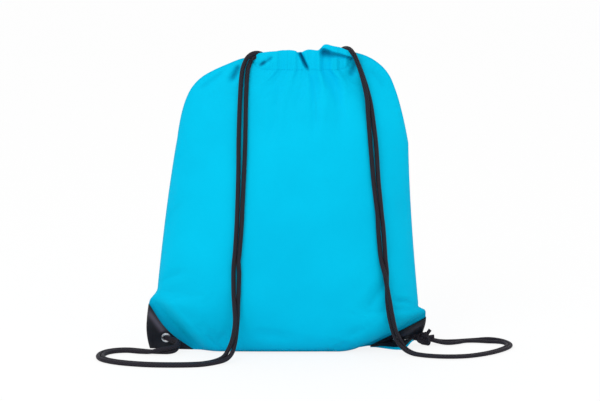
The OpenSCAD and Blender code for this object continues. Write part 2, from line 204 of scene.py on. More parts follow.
def cells(i):
    """The four corners of each cell in a grid of point numbers."""
    return np.stack([i[:-1, :-1], i[:-1, 1:], i[1:, 1:], i[1:, :-1]], -1).reshape(-1, 4)


def numbered(grid):
    """The number of each point in a grid of points."""
    return np.arange(grid[..., 0].size).reshape(grid.shape[:2])


def rings(path, side, other, radius, count):
    """A ring of points round each point of a path."""
    turn = np.arange(count) * 2 * math.pi / count
    ring = np.cos(turn)[None, :, None] * side[:, None] + np.sin(turn)[None, :, None] * other[:, None]
    return path[:, None] + ring * radius[:, None, None]


def tube_faces(i):
    """The sides and the two ends of a tube, from the point numbers of its rings."""
    j = np.roll(i, -1, axis=1)
    sides = np.stack([i[:-1], j[:-1], j[1:], i[1:]], -1).reshape(-1, 4).tolist()
    return sides + [i[0][::-1].tolist(), i[-1].tolist()]


def new_object(name, points, faces, material):
    """A mesh object from points in millimetres."""
    mesh = bpy.data.meshes.new(name)
    mesh.from_pydata((np.asarray(points, float) * MM).tolist(), [], [list(map(int, f)) for f in faces])
    mesh.validate()
    mesh.polygons.foreach_set("use_smooth", [True] * len(mesh.polygons))
    mesh.update()
    ob = bpy.data.objects.new(name, mesh)
    bpy.context.scene.collection.objects.link(ob)
    if material is not None:
        mesh.materials.append(material)
    return ob


def set_attribute(ob, name, values):
    """A float or a vector for each vertex, which materials read by name."""
    values = np.asarray(values, np.float32)
    kind = "FLOAT" if values.ndim == 1 else "FLOAT_VECTOR"
    attribute = ob.data.attributes.new(name, kind, "POINT")
    attribute.data.foreach_set("value" if values.ndim == 1 else "vector", values.ravel())


def blend_by(ob):
    """Bakes a piece's placement into its mesh."""
    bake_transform(ob)


def on_bag(ob, slot, *nodes):
    """Lets a piece ride on the bag, in place of these CAD nodes."""
    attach(ob, "bag")
    if nodes:
        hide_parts(*nodes)


def thicken(ob, thickness, offset):
    """Gives a sheet its thickness, on one side or, with no offset, on both."""
    shell = ob.modifiers.new("thickness", "SOLIDIFY")
    shell.thickness = thickness * MM
    shell.offset = offset
    graph = bpy.context.evaluated_depsgraph_get()
    mesh = bpy.data.meshes.new_from_object(ob.evaluated_get(graph))
    ob.modifiers.clear()
    old = ob.data
    ob.data = mesh
    mesh.name = old.name
    bpy.data.meshes.remove(old)


def join(parts, name):
    """One object from several, with their attributes."""
    bpy.ops.object.select_all(action="DESELECT")
    for part in parts:
        part.select_set(True)
    bpy.context.view_layer.objects.active = parts[0]
    bpy.ops.object.join()
    parts[0].name = name
    parts[0].data.name = name
    return parts[0]


# ---- Materials ----

class Nodes:
    """Short calls for building a material's nodes."""

    def __init__(self, name):
        self.material = bpy.data.materials.new(name)
        self.material.use_nodes = True
        self.tree = self.material.node_tree
        self.surface = self.tree.nodes["Principled BSDF"]

    def add(self, kind, **values):
        node = self.tree.nodes.new("ShaderNode" + kind)
        for key, value in values.items():
            if hasattr(node, key):
                setattr(node, key, value)
            else:
                node.inputs[key.replace("_", " ")].default_value = value
        return node

    def link(self, source, target):
        self.tree.links.new(source, target)

    def attribute(self, name, output="Fac"):
        return self.add("Attribute", attribute_name=name).outputs[output]

    def math(self, operation, *inputs):
        node = self.add("Math", operation=operation)
        for socket, value in zip(node.inputs, inputs):
            if isinstance(value, (int, float)):
                socket.default_value = value
            else:
                self.link(value, socket)
        return node.outputs[0]

    def texture(self, kind, output, **values):
        """A texture laid out in the object's own space."""
        node = self.add(kind, **values)
        self.link(self.add("TexCoord").outputs["Object"], node.inputs["Vector"])
        return node.outputs[output]

    def noise(self, scale, detail):
        return self.texture("TexNoise", "Fac", Scale=scale, Detail=detail)

    def split(self, name):
        """The parts of a vector attribute."""
        node = self.add("SeparateXYZ")
        self.link(self.attribute(name, "Vector"), node.inputs[0])
        return node.outputs

    def tint(self, amount, colour, other):
        """A colour that goes over to a fixed one."""
        node = self.add("MixRGB")
        self.link(amount, node.inputs[0])
        self.link(colour, node.inputs[1])
        node.inputs[2].default_value = (*other, 1)
        return node.outputs[0]

    def ramp(self, value, stops):
        node = self.add("ValToRGB")
        self.link(value, node.inputs[0])
        elements = node.color_ramp.elements
        while len(elements) < len(stops):
            elements.new(0.5)
        for element, (at, colour) in zip(elements, stops):
            element.position = at
            element.color = (*colour, 1)
        return node.outputs[0]

    def span(self, value, low, high):
        node = self.add("MapRange")
        self.link(value, node.inputs["Value"])
        node.inputs["To Min"].default_value = low
        node.inputs["To Max"].default_value = high
        return node.outputs[0]

    def bump(self, height, strength, distance, normal=None):
        node = self.add("Bump", Strength=strength, Distance=distance)
        self.link(height, node.inputs["Height"])
        if normal is not None:
            self.link(normal, node.inputs["Normal"])
        return node.outputs[0]

    def plain(self, **values):
        for name, value in values.items():
            self.surface.inputs[name.replace("_", " ")].default_value = value

    def finish(self, colour, roughness, normal, **values):
        for value, name in ((colour, "Base Color"), (roughness, "Roughness"), (normal, "Normal")):
            self.link(value, self.surface.inputs[name])
        self.plain(**values)
        return self.material


def fabric_material():
    """Plain-weave polyester: threads crossing every 0.45 mm, a soft sheen and faint blotches of tone."""
    n = Nodes("cyan_polyester")
    place = n.split("weave")
    thread = 2 * math.pi / THREAD_PITCH
    across = n.math("SINE", n.math("MULTIPLY", place[0], thread))
    along = n.math("SINE", n.math("MULTIPLY", place[1], thread))
    open_cloth = n.ramp(n.noise(9.0, 4.0), [(0.3, (0.0, 0.545, 0.84)), (0.72, (0.0, 0.60, 0.90))])
    colour = n.tint(n.attribute("shade"), open_cloth, (0.0, 0.07, 0.20))
    normal = n.bump(n.math("MULTIPLY", across, along), 0.25, 0.00012)
    normal = n.bump(n.noise(45.0, 4.0), 0.12, 0.0012, normal)
    return n.finish(colour, n.span(n.noise(160.0, 2.0), 0.5, 0.68), normal, Sheen_Weight=0.10,
                    Sheen_Roughness=0.4, Sheen_Tint=(0.0, 0.75, 1, 1), Specular_IOR_Level=0.03)


def cord_material():
    """Braided polyester cord: strands that cross in a diamond pattern, with crowns painted lighter and
    grooves painted darker, as painted highlight and painted shade.
    """
    n = Nodes("black_braid")
    place = n.split("braid")
    turn = n.math("MULTIPLY", n.math("ARCTAN2", place[1], place[0]), 5.0)
    climb = n.math("MULTIPLY", place[2], 2 * math.pi / BRAID_PITCH)
    one = n.math("SINE", n.math("ADD", turn, climb))
    other = n.math("SINE", n.math("SUBTRACT", turn, climb))
    crown = n.math("MULTIPLY_ADD", n.math("MAXIMUM", one, other), 0.5, 0.5)
    fibre = n.noise(900.0, 2.0)
    # The crowns of the braid are painted lighter and the grooves between strands darker: painted highlight
    # and painted shade.
    colour = n.ramp(crown, [(0.3, (0.002, 0.0018, 0.0035)), (0.75, (0.009, 0.0065, 0.013)),
                            (1.0, (0.022, 0.017, 0.030))])
    height = n.math("MULTIPLY_ADD", fibre, 0.3, crown)
    return n.finish(colour, n.span(fibre, 0.5, 0.75), n.bump(height, 0.7, 0.0004), Sheen_Weight=0.05,
                    Specular_IOR_Level=0.25)


def leather_material():
    """Coated black leather cloth with a fine pebbled grain and a painted highlight along its raised fold."""
    n = Nodes("black_leather_cloth")
    pebble = n.math("POWER", n.texture("TexVoronoi", "Distance", Scale=900.0), 0.7)
    tone = n.noise(60.0, 5.0)
    dark = n.ramp(tone, [(0.3, (0.003, 0.0045, 0.009)), (0.75, (0.009, 0.011, 0.019))])
    # The raised fold is lightened in the colour: a painted highlight.
    colour = n.tint(n.attribute("painted_highlight"), dark, (0.085, 0.075, 0.105))
    normal = n.bump(tone, 0.3, 0.0015, n.bump(pebble, 0.35, 0.0003))
    return n.finish(colour, n.span(n.noise(220.0, 3.0), 0.34, 0.52), normal, Specular_IOR_Level=0.3)


def metal_material():
    """Bright nickel plate with faint scratches."""
    n = Nodes("nickel_plate")
    scratches = n.noise(1500.0, 6.0)
    colour = n.ramp(scratches, [(0.2, (0.80, 0.80, 0.84)), (0.8, (0.94, 0.94, 0.97))])
    return n.finish(colour, n.span(scratches, 0.12, 0.3), n.bump(scratches, 0.05, 0.0002), Metallic=1.0)


def thread_material(name, colour, shine):
    n = Nodes(name)
    twist = n.noise(2500.0, 2.0)
    dark = tuple(c * 0.7 for c in colour)
    return n.finish(n.ramp(twist, [(0.3, dark), (0.7, colour)]), n.span(twist, 0.45, 0.65),
                    n.bump(twist, 0.4, 0.0002), Specular_IOR_Level=shine)


FABRIC = fabric_material()
CORD = cord_material()
LEATHER = leather_material()
METAL = metal_material()
CYAN_THREAD = thread_material("cyan_thread", (0.0, 0.62, 0.92), 0.03)
BLACK_THREAD = thread_material("black_thread", (0.02, 0.02, 0.028), 0.4)


# ---- The sack's outline and corners ----

def lean(z):
    return LEAN * (z / LEAN_Z) ** 3


def side_x(side, z):
    """Where a side seam is at a height below the shoulders, before its corner turns back."""
    ear = EAR_OUT * (1 - smooth((z - LEG_UP[side] - EAR_RISE[side]) / EAR_FADE[side]))
    tip = TIP_CUT * np.maximum(0, 1 - z / TIP_H) ** 2
    return lean(z) + side * (mix(HIP_W, SHOULDER_W, z / SHOULDER_Z) / 2 + ear - tip)


SHOULDER_CURVE = {
    side: resample(spline([(x, 0, z) for x, z in SHOULDER_LINE[side]], 12), 1.0)[0] for side in SIDES
}


def seam_xz(side, v):
    """[x, z] of a side seam at v."""
    v = np.clip(np.asarray(v, float), 0, 1)
    low_z = SHOULDER_Z * np.minimum(v / SHOULDER_V, 1)
    rise = np.clip((v - SHOULDER_V) / (1 - SHOULDER_V), 0, 1)
    curve = SHOULDER_CURVE[side]
    at = np.linspace(0, 1, len(curve))
    high = v > SHOULDER_V
    x = np.where(high, np.interp(rise, at, curve[:, 0]), side_x(side, low_z))
    return x, np.where(high, np.interp(rise, at, curve[:, 2]), low_z)


def edge_dir(side):
    """The way along a patch's long edge, up from the bottom seam."""
    return unit([side * LEG_IN[side], LEG_UP[side]])


def edge_out(side):
    """The way square to it, towards the corner's tip."""
    d = edge_dir(side)
    return side * np.array([d[1], -d[0]])


def beyond(side, x, z):
    """Distance past a patch's long edge, towards the corner's tip."""
    out = edge_out(side)
    return (x - PATCH_FOOT[side]) * out[0] + z * out[1]


def folded(points):
    """Turns the two corners back about lines beside their patches, as the CAD part does."""
    points = np.array(points, float)
    for side in SIDES:
        x, y, z = points[..., 0], points[..., 1], points[..., 2]
        h = beyond(side, x, z)
        out = edge_out(side)
        angle = TUCK[side] * np.clip((h + BEND_FAR) / (BEND_FAR - BEND_NEAR), 0, 1)
        radius = (BEND_FAR - BEND_NEAR) / TUCK[side]
        rest = np.maximum(0, h + BEND_NEAR)
        along = radius * np.sin(angle) + rest * np.cos(angle) - BEND_FAR
        back = radius * (1 - np.cos(angle)) + rest * np.sin(angle)
        shift = along - h - y * np.sin(angle)
        turned = np.stack([x + shift * out[0], back + y * np.cos(angle), z + shift * out[1]], -1)
        points = np.where((h > -BEND_FAR)[..., None], turned, points)
    return points


# ---- The base shape of the panels ----

def half_depth(s, v, x, z):
    """How far a panel stands out from the middle of the sack."""
    below = mix(BASE_D, BELLY_D, np.sqrt(1 - (1 - np.clip(z / BELLY_Z, 0, 1)) ** 2)) / 2
    t = np.clip((z - BELLY_Z) / (LEAN_Z - BELLY_Z), 0, 1)
    above = mix(MOUTH_GAP + TUNNEL_T, BELLY_D, (1 - t * t) ** 0.9) / 2
    flat = 1.0
    for side in SIDES:
        flat = flat * smooth((-beyond(side, x, z) - FLAT_START) / FLAT_RUN[side])
    full = swell(s, 2.6, 0.7) * np.where(z < BELLY_Z, below, above) * flat
    at_mouth = mix(full, tunnel_y(s), smooth((v - 0.78) / 0.22))
    return np.maximum(CORNER_Y * (1 - np.abs(s) ** 40), at_mouth)


def tunnel_y(s):
    """Distance of a tunnel's outer wall from the middle of the mouth."""
    return (TUNNEL_T + 0.3) * (1 - np.abs(s) ** 12) + MOUTH_GAP / 2 * swell(s, 2.6, 0.7)


def panel_points(face, s, v):
    """Points of a panel's outer face. v below 0 is the strip that rests on the floor."""
    s, v = np.broadcast_arrays(np.asarray(s, float), np.asarray(v, float))
    lx, lz = seam_xz(LEFT, v)
    rx, rz = seam_xz(RIGHT, v)
    x = mix(lx, rx, (s + 1) / 2)
    edge_z = mix(lz, rz, (s + 1) / 2)
    rise = np.clip((v - SHOULDER_V) / (1 - SHOULDER_V), 0, 1)
    middle_z = mix(SHOULDER_Z, MOUTH_Z, rise)
    hug = mix(2.5, 10, rise**3)
    z = np.where(v > SHOULDER_V, mix(middle_z, edge_z, np.abs(s) ** hug), edge_z)
    under = np.clip(1 + v / BASE_V, 0, 1)
    y = face * half_depth(s, v, x, z) * np.where(v < 0, under**0.8, 1)
    z = z + np.where(v < 0, 1.2 * (1 - under) ** 2, 0)
    return folded(np.stack([x, y, z], -1))


# ---- Gathers and creases ----

GATHERS = [          # height of a fold, folds across half the mouth, where it starts, reach below the mouth
    (1.5, 1.9, 0.21, 95.0),
    (1.2, 3.1, 0.67, 70.0),
    (0.6, 5.3, 0.12, 36.0),
    (0.3, 9.7, 0.45, 18.0),
]


def gathers(face, s, below):
    """Height of the folds that the cords gather, at a distance below the stitched line."""
    total = 0.0
    for k, (height, count, start, reach) in enumerate(GATHERS):
        wander = 0.35 * np.sin(5.1 * s + 1.3 * k + 2.0 * face)
        wave = np.sin(2 * math.pi * (count * s + start + 0.31 * face * (k + 1) + wander))
        total = total + height * wave * np.exp(-(np.maximum(below, 0) / reach) ** 1.3)
    return total * (1 - np.abs(s) ** 8)


# Creases: start x and z, end x and z, width, depth. A negative depth is a ridge.
CREASES = {
    FRONT: [
        (-17, 362, -34, 350, 2.6, 3.2),
        (-27, 358, -33, 349, 3.4, 2),
        (-57, 350, -68, 330, 4, 3.8),
        (82, 357, 74, 336, 5, 3),
        (15, 368, 27, 342, 2, 3),
        (-74, 345, -112, 318, 5, 1.6),
        (98, 345, 118, 318, 5, 1.4),
        (128, 67, 160, 57, 3.5, 1.6),
        (-158, 84, -120, 104, 5, 1.3),
        (-152, 150, -118, 196, 8, 1.2),
        (-134, 236, -96, 262, 8, 1),
        (-10, 335, -22, 262, 4.5, 1.1),
        (30, 340, 33, 270, 4, 1.3),
        (52, 338, 66, 276, 5, 1.2),
        (96, 60, 128, 100, 7, 1.4),
        (-40, 30, 10, 18, 6, 0.9),
        (126, 214, 142, 170, 6, 1),
    ],
    BACK: [
        (-60, 346, -96, 300, 5, 1.8),
        (96, 348, 120, 300, 5, 1.7),
        (20, 340, 8, 262, 4.5, 1.3),
        (48, 340, 60, 280, 4, 1.2),
        (-150, 70, -96, 34, 6, 1.8),
        (120, 66, 60, 30, 6, 1.7),
        (-146, 170, -104, 214, 8, 1.2),
        (138, 150, 104, 196, 7, 1.1),
        (-30, 200, 40, 236, 9, 0.8),
    ],
}


def crease_depth(x, z, crease):
    x0, z0, x1, z1, width, depth = crease
    dx, dz = x1 - x0, z1 - z0
    length = math.hypot(dx, dz)
    along = ((x - x0) * dx + (z - z0) * dz) / length**2
    off = ((x - x0) * dz - (z - z0) * dx) / length
    off = off + 0.04 * length * np.sin(math.pi * along)
    fade = smooth(along / 0.3 + 0.5) * smooth((1 - along) / 0.5 + 0.3)
    dip = np.exp(-(off / width) ** 2) - 0.35 * np.exp(-((np.abs(off) - 1.9 * width) / width) ** 2)
    return depth * fade * dip


def ripples(face, x, z):
    """Slow unevenness of filled cloth, from a few long waves at fixed angles."""
    total = 0.0
    for k in range(7):
        angle = 2.4 * k + 0.7 * face
        wave = 34.0 + 9.0 * k
        total = total + (0.10 + 0.06 * k) * np.sin(
            2 * math.pi * (x * math.cos(angle) + z * math.sin(angle)) / wave + 1.7 * k * face
        )
    return total


# ---- Cloth simulation of the filled sack ----

COLS, BASE_ROWS, ROWS = 80, 3, 92
REFINE = 2               # cells of the finished cloth for each cell of the trial
SIM_FRAMES = 22
SIM_CAP = 9.0            # how far the trial may move a point


def flat_layout(grid, v):
    """Where a panel's points lie when it is laid flat, with room to gather at the mouth."""
    d = np.diff(grid, axis=1)
    across = np.concatenate([np.zeros((len(grid), 1)), np.cumsum(np.hypot(d[..., 0], d[..., 1]), 1)], 1)
    d = np.diff(grid, axis=0)
    up = np.concatenate([np.zeros((1, grid.shape[1])), np.cumsum(np.hypot(d[..., 1], d[..., 2]), 0)], 0)
    slack = 1.025 + 0.30 * smooth((v - 0.66) / 0.34)
    x = (across - across[:, -1:] / 2) * slack
    return np.stack([x, np.zeros_like(x), up * 1.015], -1)


def simulate(front, back, s, v):
    """Inflates the two joined panels with Blender's cloth. The seams, the mouth and the corners are held."""
    index = {FRONT: numbered(front), BACK: numbered(front)}
    own = np.zeros(s.shape, bool)
    own[1:, 1:-1] = True
    index[BACK][own] = s.size + np.arange(own.sum())
    points = np.vstack([front.reshape(-1, 3), back[own]])
    rest = np.vstack([flat_layout(front, v).reshape(-1, 3), flat_layout(back, v)[own]])

    faces = []
    for face in FACES:
        quads = cells(index[face])
        faces += (quads if face == FRONT else quads[:, ::-1]).tolist()
    ob = new_object("cloth_trial", points, faces, None)

    ob.shape_key_add(name="Basis")
    key = ob.shape_key_add(name="laid_flat")
    key.data.foreach_set("co", (rest * MM).ravel())
    held = np.zeros(len(points))
    x, _, z = np.moveaxis(panel_points(FRONT, s, v), -1, 0)
    near = np.maximum(smooth((np.abs(s) - 0.975) / 0.02), smooth((0.012 - v) / 0.01))
    near = np.maximum(near, smooth((v - 0.985) / 0.01))
    for side in SIDES:
        near = np.maximum(near, smooth((beyond(side, x, z) + 14) / 8))
    for face in FACES:
        held[index[face].ravel()] = near.ravel()
    group = ob.vertex_groups.new(name="held")
    for k in np.flatnonzero(held > 0.001):
        group.add([int(k)], float(held[k]), "REPLACE")

    cloth = ob.modifiers.new("cloth", "CLOTH")
    settings = cloth.settings
    settings.quality = 5
    settings.mass = 0.2
    settings.tension_stiffness = settings.compression_stiffness = 20
    settings.shear_stiffness = 8
    settings.bending_stiffness = 0.15
    settings.use_pressure = True
    settings.uniform_pressure_force = 3.0
    settings.vertex_group_mass = "held"
    settings.effector_weights.gravity = 0
    settings.rest_shape_key = key
    cloth.collision_settings.use_collision = False
    cloth.point_cache.frame_start, cloth.point_cache.frame_end = 1, SIM_FRAMES
    for number in range(1, SIM_FRAMES + 1):
        bpy.context.scene.frame_set(number)
    graph = bpy.context.evaluated_depsgraph_get()
    moved = np.zeros(len(points) * 3, np.float32)
    ob.evaluated_get(graph).data.vertices.foreach_get("co", moved)
    moved = moved.reshape(-1, 3) / MM
    bpy.context.scene.frame_set(1)
    bpy.data.objects.remove(ob)

    shift = moved - points
    size = np.linalg.norm(shift, axis=1, keepdims=True)
    shift *= np.minimum(1, SIM_CAP / np.maximum(size, 1e-9))
    settled = points + shift
    return settled[index[FRONT]], settled[index[BACK]]


S, V = np.meshgrid(
    np.linspace(-1, 1, COLS + 1),
    np.concatenate([np.linspace(-BASE_V, 0, BASE_ROWS + 1)[:-1], np.linspace(0, 1, ROWS + 1)]),
)
panels = {face: panel_points(face, S, V) for face in FACES}
for face in panels:
    below = np.linalg.norm(panels[face] - panels[face][-1:], axis=-1)
    panels[face][..., 1] += face * gathers(face, S, below)
panels[FRONT], panels[BACK] = simulate(panels[FRONT], panels[BACK], S, V)


# ---- The finished panels and their tunnels ----

TUNNEL_ROWS = 22

# The top edge between the two ends of the mouth: x and height.
TOP_EDGE = {
    FRONT: [(-44, 359.5), (-31, 366), (-8, 369), (9, 369.4), (14.4, 365.5), (24, 370), (37, 370), (45, 377),
            (59, 375), (68, 371.5), (81, 365.5)],
    BACK: [(-44, 359), (-30, 360.5), (-12, 362), (2, 361.5), (16, 363.5), (34, 363), (50, 366), (66, 366),
           (81, 364.5)],
}


def top_edge(face, x):
    """Height of a tunnel's top edge."""
    at = np.array(TOP_EDGE[face], float)
    return np.interp(x, *np.array([spline(np.c_[at, at[:, :1]], 8)[:, k] for k in (0, 1)]))


def hem_share(s):
    """A share across the mouth: full up to HEM_FREE, falling to 0 at the ends of the stitching."""
    return 1 - smooth((np.abs(s) - HEM_FREE) / (STITCH_END - HEM_FREE))


def tunnel_room(s):
    """How far a tunnel's inner wall lies from its outer one."""
    return TUNNEL_T * (1 - np.abs(s) ** 12) - 0.4


def tunnel_grid(face, s, foot):
    """Rows up the outside of a tunnel, over its top and down its inside, above the stitched line's points."""
    x, y0, z0 = foot[:, 0], foot[:, 1], foot[:, 2]
    z1 = np.maximum(top_edge(face, x), z0 + 2)
    room = tunnel_room(s)
    rows = []
    for i in range(1, 2 * TUNNEL_ROWS + 1):
        t = i / (2 * TUNNEL_ROWS)
        outside = t <= 0.5
        h = 2 * t if outside else 2 - 2 * t
        rise = math.sin(math.pi / 2 * h)
        shoulder = 1 - math.sqrt(max(0.0, 1 - max(0.0, (rise - 0.8) / 0.2) ** 2))
        push = 0.7 * math.sin(math.pi * rise) ** 2 - 2.0 * shoulder
        hollow = min(1.0, (1 - rise) / 0.12, rise / 0.3)
        inner = room * math.sin(math.pi / 2 * max(0.0, hollow)) ** 0.8
        y = y0 + face * (push if outside else push - inner)
        z = mix(z0, z1, rise)
        fade = 1 if outside else 1 - hollow
        if face == FRONT:
            y = y + front_tunnel_folds(x, z) * fade
        y = y - face * crease_total(face, x, z) * fade * (1 - np.abs(s) ** 12) * 0.5
        rows.append(np.stack([x, y, z], -1))
    return np.array(rows)


def front_tunnel_folds(x, z):
    """The pleat that gapes at the middle of the mouth, and the roll that stands out at its right."""
    gape_x = mix(26.5, 14.5, (z - 342) / 25)
    gape = 5.0 * np.exp(-np.abs((x - gape_x) / 2.0) ** 2.5) * smooth((z - 343) / 8)
    lower_edge = np.interp(x, [40, 45, 52, 58, 64, 70, 78], [371.5, 371, 369, 367, 365, 363, 360])
    across = smooth((x - 36) / 9) * smooth((88 - x) / 14)
    roll = -6.5 * across * smooth((z - lower_edge) / 1.4)
    depth = mix(3.0, 4.9, smooth((68 - x) / 24)) * across
    width = mix(1.8, 4.6, smooth((64 - x) / 18))
    under = depth * np.exp(-((z - lower_edge + width) / width) ** 2)
    return gape + roll + under


def crease_total(face, x, z):
    return sum(crease_depth(x, z, crease) for crease in CREASES[face])


def fold_shade(face, x, z):
    """How deep a place lies in a fold, from 0 on the open cloth to 1, where little light gets in."""
    shade = 0.17 * np.maximum(0, crease_total(face, x, z) - 0.9) ** 1.2
    if face == FRONT:
        shade = shade + 0.16 * np.maximum(0, front_tunnel_folds(x, z))
    for side in SIDES:
        depth, reach = UNDER_SHADE[side]
        shade = shade + depth * np.exp(-(np.maximum(0, -beyond(side, x, z)) / reach) ** 1.3)
    return np.clip(shade, 0, 1)


EYELET = {side: node_centre(f"{SIDE[side]}_eyelet") for side in SIDES}


def eyelet_axis(side):
    """The way through an eyelet, from the front to the back."""
    out = edge_out(side)
    return unit([-out[0] * math.sin(TUCK[side]), math.cos(TUCK[side]), -out[1] * math.sin(TUCK[side])])


def cut_eyelet_hole(side, faces, points):
    """Leaves out the faces inside an eyelet."""
    reach = points[faces].mean(axis=1) - EYELET[side]
    off = np.linalg.norm(np.cross(reach, eyelet_axis(side)), axis=1)
    near = np.linalg.norm(reach, axis=1) < 12
    return faces[~(near & (off < HOLE_R))]


def finish_panel(face):
    """A panel and its tunnel as one cloth object, with creases, ripples and a puckered side seam."""
    grid = refine(panels[face], REFINE)
    s, v = np.moveaxis(refine(np.stack([S, V], -1), REFINE), -1, 0)
    s = np.clip(s, -1, 1)
    x, z = grid[..., 0].copy(), grid[..., 2].copy()
    loose = (1 - smooth((np.abs(s) - 0.93) / 0.05)) * smooth((v - 0.02) / 0.05)
    for side in SIDES:
        loose = loose * smooth((-beyond(side, x, z) - 6) / 20)
    inward = crease_total(face, x, z) * (1 - smooth((v - 0.97) / 0.03) * 0.5)
    inward = inward + ripples(face, x, z)
    grid[..., 1] -= face * inward * loose
    edge = np.minimum(1 + s, 1 - s) * 150
    pucker = 0.5 * np.sin(2 * math.pi * v * SEAM_LENGTH / PUCKER_PITCH + 3 * np.sin(v * 31 + face))
    pucker = pucker * np.exp(-(edge / 7) ** 2)
    free = np.clip(edge / 2, 0, 1) * smooth((v - 0.2) / 0.05)
    grid[..., 1] += face * pucker * free

    foot = grid[-1]
    inside = np.abs(s[-1]) <= TUNNEL_END + 1e-6
    tunnel = tunnel_grid(face, s[-1][inside], foot[inside])
    points = np.vstack([grid.reshape(-1, 3), tunnel.reshape(-1, 3)])
    index = numbered(grid)
    above = np.vstack([index[-1][inside][None], index.size + numbered(tunnel)])
    faces = np.vstack([cells(index), cells(above)])
    for side in SIDES:
        faces = cut_eyelet_hole(side, faces, points)
    if face == BACK:
        faces = faces[:, ::-1]
    ob = new_object(f"{FACE[face]}_fabric", points, faces, FABRIC)

    flat = flat_layout(grid, v)
    climb = np.linspace(0, 50, len(tunnel) + 1)[1:, None] + flat[-1:, inside, 2]
    tunnel_flat = np.stack(np.broadcast_arrays(flat[-1, inside, 0], 0, climb), -1)
    weave = np.vstack([flat.reshape(-1, 3), tunnel_flat.reshape(-1, 3)])
    set_attribute(ob, "weave", weave[:, [0, 2, 1]])
    set_attribute(ob, "shade", fold_shade(face, points[:, 0], points[:, 2]))
    share = hem_share(s) * smooth((v - STRAP_FREE_V) / (0.98 - STRAP_FREE_V))
    shares = np.concatenate([share.ravel(), np.tile(hem_share(s[-1][inside]), len(tunnel))])
    set_attribute(ob, "share", shares)
    thicken(ob, FABRIC_T, -1)
    values = np.zeros(len(ob.data.vertices), np.float32)
    ob.data.attributes["share"].data.foreach_get("value", values)
    ob.data.attributes.remove(ob.data.attributes["share"])
    name = FACE[face]
    blend_by(ob)
    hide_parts(f"{name}_panel", f"{name}_tunnel")
    return {"s": s[-1], "foot": foot, "points": points, "faces": faces, "shares": shares}


finished = {face: finish_panel(face) for face in FACES}


# ---- Cords ----

CORD_SIDES = 16


def swept(name, path, radius, rows=slice(None)):
    """A round cord along a path, or along some of its rows, with the braid's place for its material."""
    radius = np.broadcast_to(radius, len(path))
    tangent = unit(np.gradient(path, axis=0))
    side = np.zeros_like(path)
    side[0] = unit(np.cross(tangent[0], [0.31, 0.2, 0.93]))
    for i in range(1, len(path)):
        side[i] = unit(side[i - 1] - tangent[i] * (side[i - 1] @ tangent[i]))
    other = np.cross(tangent, side)
    along = running(np.linalg.norm(np.diff(path, axis=0), axis=1))
    points = rings(path, side, other, radius, CORD_SIDES)[rows]
    ob = new_object(name, points.reshape(-1, 3), tube_faces(numbered(points)), CORD)
    turn = np.arange(CORD_SIDES) * 2 * math.pi / CORD_SIDES
    braid = np.broadcast_arrays(np.cos(turn), np.sin(turn), along[rows][:, None])
    set_attribute(ob, "braid", np.stack(braid, -1).reshape(-1, 3))
    return ob


front_tree = BVHTree.FromPolygons(finished[FRONT]["points"].tolist(), finished[FRONT]["faces"].tolist())


def front_y(x, z):
    """The sack's face at a place seen from the front."""
    hit = front_tree.ray_cast((x, -400, z), (0, 1, 0))[0]
    return 0.0 if hit is None else hit[1]


